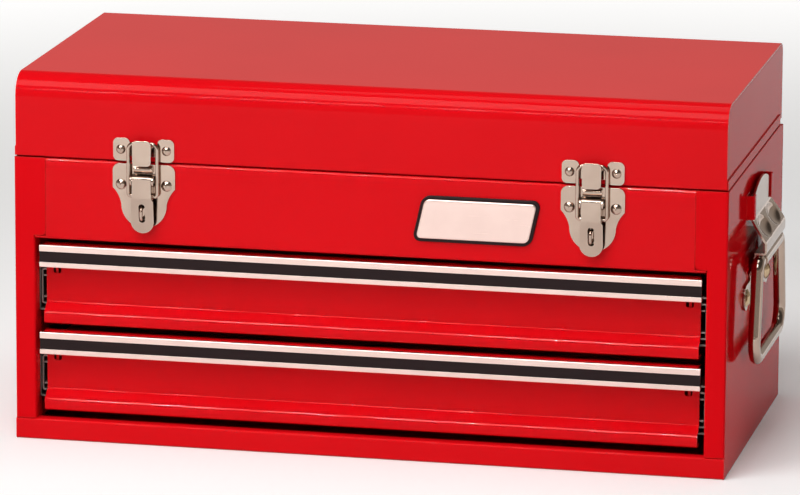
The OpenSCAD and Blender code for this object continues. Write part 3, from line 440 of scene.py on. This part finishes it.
# ---- Handle brackets ------------------------------------------------------------------------------
# In metres: "out" is from the side panel outwards, y along the panel, and "up" from the handle's pivot
SHEET = 0.0015
GAP = 0.0002
PLATE_OUT = 0.0037
PLATE_TOP = 0.0526
PLATE_SIDE_TOP = 0.042
PLATE_HALF_W = 0.041
HOOD_FOOT = 0.029
SHOULDER = 0.0135
NOSE_OUT = 0.0141
HOOD_LOW = 0.0057
RETURN_OUT = 0.006
HOOD_HALF_W = 0.0435
HOOD_SWEEP = 0.7 * math.pi
HOOD_BENDS = (0.005, 0.0045, 0.0016)
HOOD_PITCH = 0.0009
HOOD_COLUMNS = 72
DISH_Y = 0.0205
DISH_UP = 0.0212
DISH_HALF_W = 0.0165
DISH_HALF_RUN = 0.0082
DISH_DEEP = 0.0032
DISH_POWER = 0.8
PIN_OUT = 0.0095
BARREL_R = 0.0052
BORE_R = 0.0037
BARREL_HALF_W = 0.036
BARREL_STEPS = 32
STRAP_HALF_W = 0.03
STRAP_LAND = -0.013
STRAP_BENDS = (0.0025, 0.0025)
STRAP_PITCH = 0.0012
STRAP_COLUMNS = 4
FOOT_LOW = -0.0345
NOTCH_RISE = 0.008
EAR_Y = 0.045
EAR_UP = -0.0255
EAR_R = 0.009
EAR_STEPS = 14
FEWEST_ARC_STEPS = 4
SHARP_ANGLE = math.radians(35)


def divided(a, b, pitch):
    """Points between a and b, without them."""
    count = max(1, round((b - a).length / pitch))
    return [a.lerp(b, k / count) for k in range(1, count)]


def bent_path(points, radii, pitch):
    """The points of a folded strip's middle line, about pitch apart, with arcs at its bends."""
    points = [Vector(p) for p in points]
    path = [points[0]]
    for i, radius in enumerate(radii, 1):
        back = (points[i - 1] - points[i]).normalized()
        on = (points[i + 1] - points[i]).normalized()
        half = back.angle(on) / 2
        centre = points[i] + (back + on).normalized() * radius / math.sin(half)
        cut = radius / math.tan(half)
        start = (points[i] + back * cut - centre).normalized()
        end = (points[i] + on * cut - centre).normalized()
        steps = max(FEWEST_ARC_STEPS, round(radius * (math.pi - 2 * half) / pitch))
        arc = [centre + radius * start.slerp(end, k / steps) for k in range(steps + 1)]
        path += divided(path[-1], arc[0], pitch) + arc
    path += divided(path[-1], points[-1], pitch) + [points[-1]]
    return path


def no_press(point, y):
    return 0


def sheet_face(b, path, columns, half_width, place, press, side):
    """Rows of vertices of one face of a sheet. side is 1 for its outer face and -1 for its inner face."""
    rows = []
    for i, point in enumerate(path):
        ahead = (path[min(i + 1, len(path) - 1)] - path[max(i - 1, 0)]).normalized()
        normal = Vector((-ahead.y, ahead.x))
        row = []
        for k in range(columns + 1):
            y = (2 * k / columns - 1) * half_width(point)
            out, up = point + normal * (side * SHEET / 2 - press(point, y))
            row.append(b.verts.new(place(out, y, up)))
        rows.append(row)
    return rows


def sheet(b, path, columns, half_width, place, press=no_press):
    """A closed sheet along path. half_width and press give its half width and how far it is pressed in."""
    top = sheet_face(b, path, columns, half_width, place, press, 1)
    bottom = sheet_face(b, path, columns, half_width, place, press, -1)
    last = len(path) - 1
    for i in range(last):
        for k in range(columns):
            b.faces.new((top[i][k], top[i][k + 1], top[i + 1][k + 1], top[i + 1][k]))
            b.faces.new((bottom[i][k], bottom[i + 1][k], bottom[i + 1][k + 1], bottom[i][k + 1]))
        for k in (0, columns):
            b.faces.new((top[i][k], top[i + 1][k], bottom[i + 1][k], bottom[i][k]))
    for i in (0, last):
        for k in range(columns):
            b.faces.new((top[i][k], bottom[i][k], bottom[i][k + 1], top[i][k + 1]))


def hood_half_width(point):
    """Half the sheet's width at a point of its path: wider at the hood than at the plate."""
    f = min(1, max(0, (HOOD_FOOT - point.y) / (HOOD_FOOT - SHOULDER)))
    return PLATE_HALF_W + (HOOD_HALF_W - PLATE_HALF_W) * math.sin(f * HOOD_SWEEP)


def strap_half_width(point):
    return STRAP_HALF_W


def dish_depth(point, y):
    """How far the two dishes press the hood in there."""
    if point.x < PLATE_OUT + SHEET / 2 or point.y < HOOD_LOW + SHEET:
        return 0
    slant = math.hypot(NOSE_OUT - PLATE_OUT, HOOD_FOOT - SHOULDER) / (HOOD_FOOT - SHOULDER)
    far = math.hypot((point.y - DISH_UP) * slant / DISH_HALF_RUN, (abs(y) - DISH_Y) / DISH_HALF_W)
    return DISH_DEEP * (1 - far ** 2) ** DISH_POWER if far < 1 else 0


def foot_outline():
    """The foot, as (y, up): an ear round each rivet and a shallow arched notch between them."""
    points = []
    for side, first in ((1, -90), (-1, 90)):
        for k in range(EAR_STEPS + 1):
            a = math.radians(first + 180 * k / EAR_STEPS)
            points.append((side * EAR_Y + EAR_R * math.cos(a), EAR_UP + EAR_R * math.sin(a)))
    for k in range(1, 2 * EAR_STEPS):
        f = k / (2 * EAR_STEPS)
        points.append((-EAR_Y + 2 * EAR_Y * f, FOOT_LOW + NOTCH_RISE * math.sin(f * math.pi)))
    return points


def foot(b, place):
    """The flat plate of the foot, on the side panel."""
    outline = foot_outline()
    low = [b.verts.new(place(GAP, y, up)) for y, up in outline]
    high = [b.verts.new(place(SHEET, y, up)) for y, up in outline]
    bridge(b, low, high)
    b.faces.new(high)
    b.faces.new(list(reversed(low)))


def barrel(b, place):
    """The tube that holds the handle's pins."""
    rings = []
    for radius, y in ((BORE_R, -BARREL_HALF_W), (BARREL_R, -BARREL_HALF_W),
                      (BARREL_R, BARREL_HALF_W), (BORE_R, BARREL_HALF_W)):
        ring = []
        for k in range(BARREL_STEPS):
            a = 2 * math.pi * k / BARREL_STEPS
            ring.append(b.verts.new(place(PIN_OUT + radius * math.cos(a), y, radius * math.sin(a))))
        rings.append(ring)
    for i, ring in enumerate(rings):
        bridge(b, ring, rings[(i + 1) % len(rings)])


def handle_bracket(side, name, joint):
    """Pressed bracket with a dished hood. It stands for the CAD bracket, whose hood is plain."""
    pivot = next(j for j in frame["joints"] if j["name"] == joint)["pos_m"]
    wall = abs(pivot[0]) - PIN_OUT

    def place(out, y, up):
        return Vector((side * (wall + out), y, pivot[2] + up))

    def place_hood(out, y, up):
        """As place, with an arched top edge."""
        if up > HOOD_FOOT:
            arch = PLATE_TOP - (PLATE_TOP - PLATE_SIDE_TOP) * (y / PLATE_HALF_W) ** 2
            up = HOOD_FOOT + (up - HOOD_FOOT) * (arch - HOOD_FOOT) / (PLATE_TOP - HOOD_FOOT)
        return place(out, y, up)

    b = bmesh.new()
    hood_corners = ((PLATE_OUT, PLATE_TOP), (PLATE_OUT, HOOD_FOOT), (NOSE_OUT, SHOULDER),
                    (NOSE_OUT, HOOD_LOW), (RETURN_OUT, HOOD_LOW))
    hood = bent_path(hood_corners, HOOD_BENDS, HOOD_PITCH)
    sheet(b, hood, HOOD_COLUMNS, hood_half_width, place_hood, dish_depth)
    top_out = PIN_OUT - BARREL_R + SHEET / 2
    land_out = SHEET / 2 + GAP
    strap_corners = ((top_out, 0), (top_out, -BARREL_R), (land_out, STRAP_LAND), (land_out, EAR_UP))
    strap = bent_path(strap_corners, STRAP_BENDS, STRAP_PITCH)
    sheet(b, strap, STRAP_COLUMNS, strap_half_width, place)
    barrel(b, place)
    foot(b, place)
    piece = new_piece(name, b, "nickel_plate")
    piece.data.shade_smooth()
    piece.data.set_sharp_from_angle(angle=SHARP_ANGLE)
    return piece


# ---- The scene ------------------------------------------------------------------------------------
make_camera()
make_world()
make_floor()
make_lamps()
dress_cad_nodes()
make_name_plate()
for side, hand in ((1, "right"), (-1, "left")):
    bracket = handle_bracket(side, hand + "_pressed_bracket", hand + "_bail_swing")
    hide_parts(hand + "_handle_bracket")

bpy.context.scene.view_settings.view_transform = "Standard"
